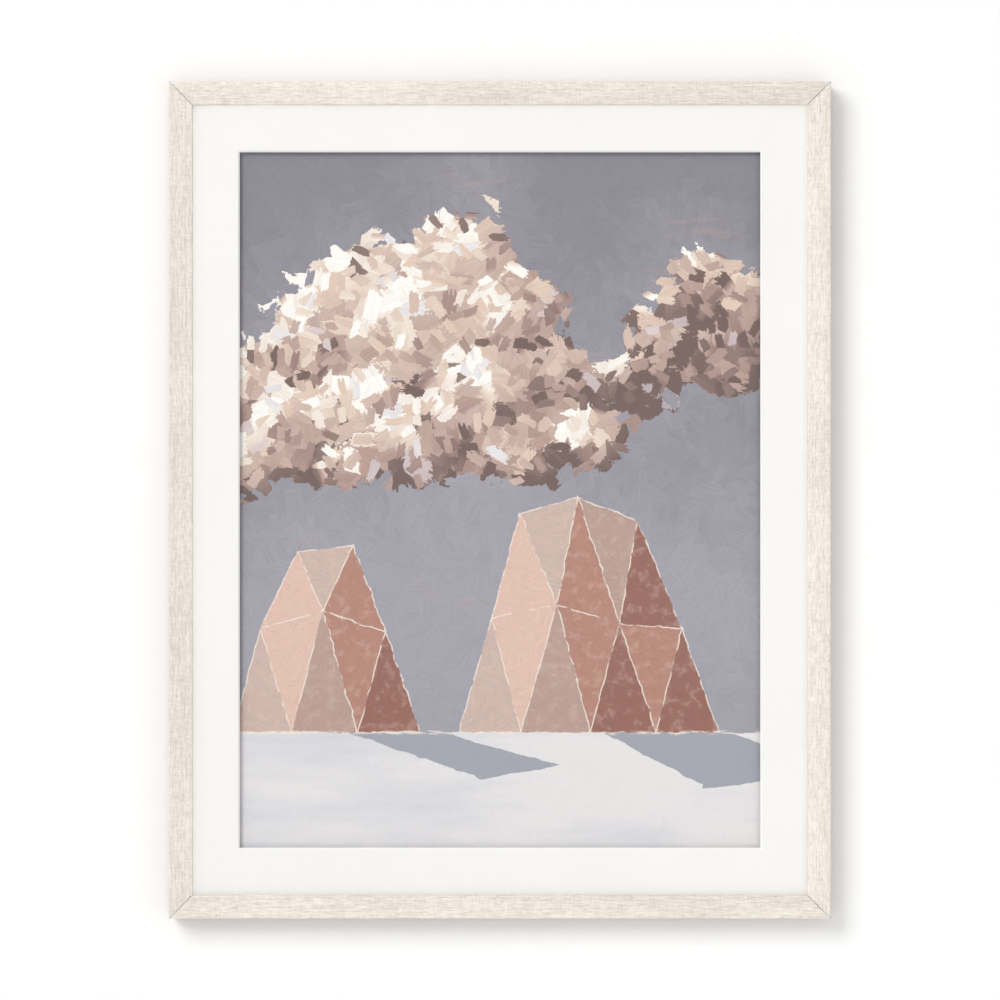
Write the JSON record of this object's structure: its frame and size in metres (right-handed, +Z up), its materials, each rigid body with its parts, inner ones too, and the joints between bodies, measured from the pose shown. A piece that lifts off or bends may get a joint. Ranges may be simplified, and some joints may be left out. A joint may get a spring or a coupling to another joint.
{
  "type": "framed art print",
  "caption": "Upright framed art print: mitred champagne moulding, glass, white window mat and printed sheet, with D ring strap hangers, kraft dust cover and bumpers behind.",
  "frame": {"origin": "on the wall plane, midway between the two hanging rings, level with the inside tops of their bows", "axes": "+Z up along the long side, +Y out of the back towards the wall, +X to the right as seen from the front"},
  "size_m": [0.5798, 0.0308, 0.7329],
  "materials": {
    "moulding": "brushed champagne wash on wood, satin, with a fine linen-like grain",
    "picture_glass": "clear picture glass",
    "window_mat": "smooth warm white mat board, matt",
    "spacer_foam": "white foam board strips, paper faced",
    "printed_paper": "matt art paper, printed all over",
    "hinge_tape": "gummed paper tape",
    "mount_board": "matt white board",
    "backing_board": "brown fibre board",
    "kraft_paper": "brown kraft paper, faintly ribbed",
    "corner_steel": "blued spring steel",
    "point_steel": "dull tempered steel",
    "hanger_steel": "nickel plated steel",
    "screw_steel": "zinc plated steel",
    "bumper_rubber": "soft black rubber"
  },
  "bodies": {
    "frame": {"frame_rail_top": "moulding", "frame_rail_bottom": "moulding", "frame_stile_left": "moulding", "frame_stile_right": "moulding", "corner_wedge_top_left_outer": "corner_steel", "corner_wedge_top_left_inner": "corner_steel", "corner_wedge_top_right_outer": "corner_steel", "corner_wedge_top_right_inner": "corner_steel", "corner_wedge_bottom_left_outer": "corner_steel", "corner_wedge_bottom_left_inner": "corner_steel", "corner_wedge_bottom_right_outer": "corner_steel", "corner_wedge_bottom_right_inner": "corner_steel", "framer_point_rail_top_1": "point_steel", "framer_point_rail_top_2": "point_steel", "framer_point_rail_bottom_1": "point_steel", "framer_point_rail_bottom_2": "point_steel", "framer_point_stile_left_1": "point_steel", "framer_point_stile_left_2": "point_steel", "framer_point_stile_left_3": "point_steel", "framer_point_stile_right_1": "point_steel", "framer_point_stile_right_2": "point_steel", "framer_point_stile_right_3": "point_steel", "glazing": "picture_glass", "mat_board": "window_mat", "mat_spacer_top": "spacer_foam", "mat_spacer_bottom": "spacer_foam", "mat_spacer_left": "spacer_foam", "mat_spacer_right": "spacer_foam", "art_print": "printed_paper", "print_hinge_left": "hinge_tape", "print_hinge_right": "hinge_tape", "mount_board": "mount_board", "backing_board": "backing_board", "dust_cover": "kraft_paper", "hanger_strap_left": "hanger_steel", "hanger_screw_left": "screw_steel", "bumper_left": "bumper_rubber", "hanger_strap_right": "hanger_steel", "hanger_screw_right": "screw_steel", "bumper_right": "bumper_rubber"},
    "ring_left": {"hanger_ring_left": "hanger_steel"},
    "ring_right": {"hanger_ring_right": "hanger_steel"}
  },
  "joints": [
    {"name": "ring_left_swing", "type": "hinge", "parent": "frame", "child": "ring_left", "pos_m": [-0.282, -0.00275, -0.01106], "axis": [-1, 0, 0], "range_deg": [0, 180]},
    {"name": "ring_right_swing", "type": "hinge", "parent": "frame", "child": "ring_right", "pos_m": [0.282, -0.00275, -0.01106], "axis": [-1, 0, 0], "range_deg": [0, 180]}
  ]
}
